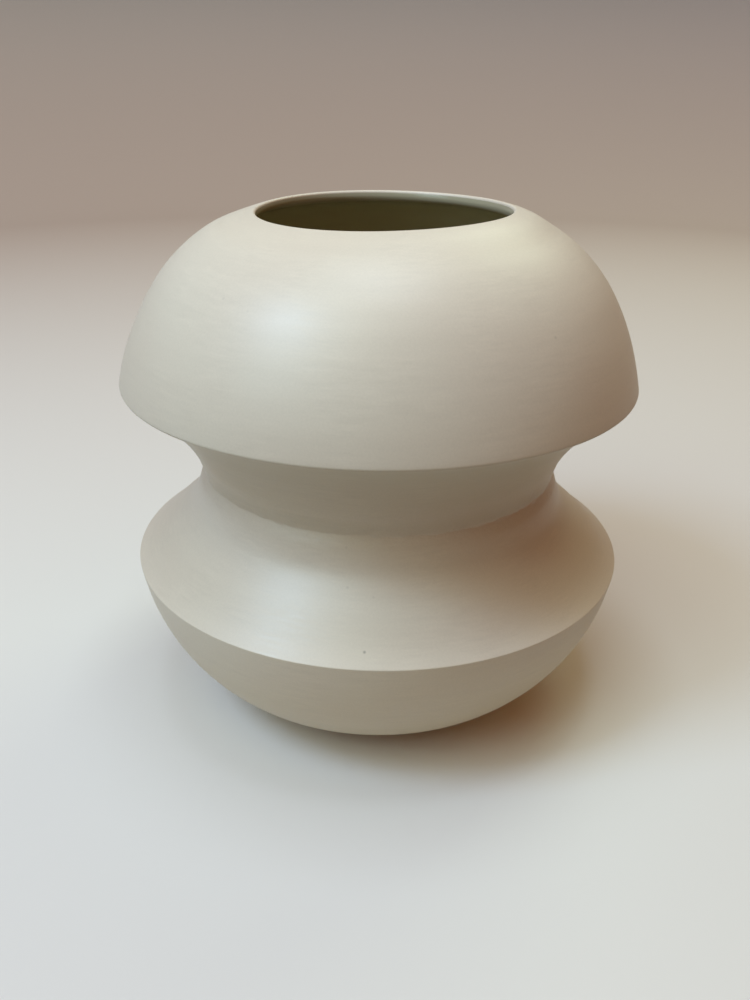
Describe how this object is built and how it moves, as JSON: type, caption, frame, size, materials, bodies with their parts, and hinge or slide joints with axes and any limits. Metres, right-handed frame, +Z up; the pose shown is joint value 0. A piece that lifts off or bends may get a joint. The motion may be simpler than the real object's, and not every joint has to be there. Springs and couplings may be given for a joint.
{
  "type": "pillow vase",
  "caption": "Round stoneware vase with two full lobes on a deep waist, crisp edges and a wide open mouth; bare matte clay outside, glossy glaze inside.",
  "frame": {"origin": "centre of the foot ring's resting face", "axes": "+Z up the throwing axis; -Y faces the picture's camera; +X to that camera's right"},
  "size_m": [0.191, 0.191, 0.1887],
  "materials": {
    "bare_stoneware": "matte, unglazed, sponged smooth",
    "liner_glaze": "glossy transparent glaze over the pale clay, grey-olive in the hollow's shade"
  },
  "bodies": {
    "root": {"lower_bowl": "bare_stoneware", "waist_collar": "bare_stoneware", "upper_dome": "bare_stoneware", "lower_seam_coil": "bare_stoneware", "upper_seam_coil": "bare_stoneware", "glaze_lining": "liner_glaze"}
  },
  "joints": []
}
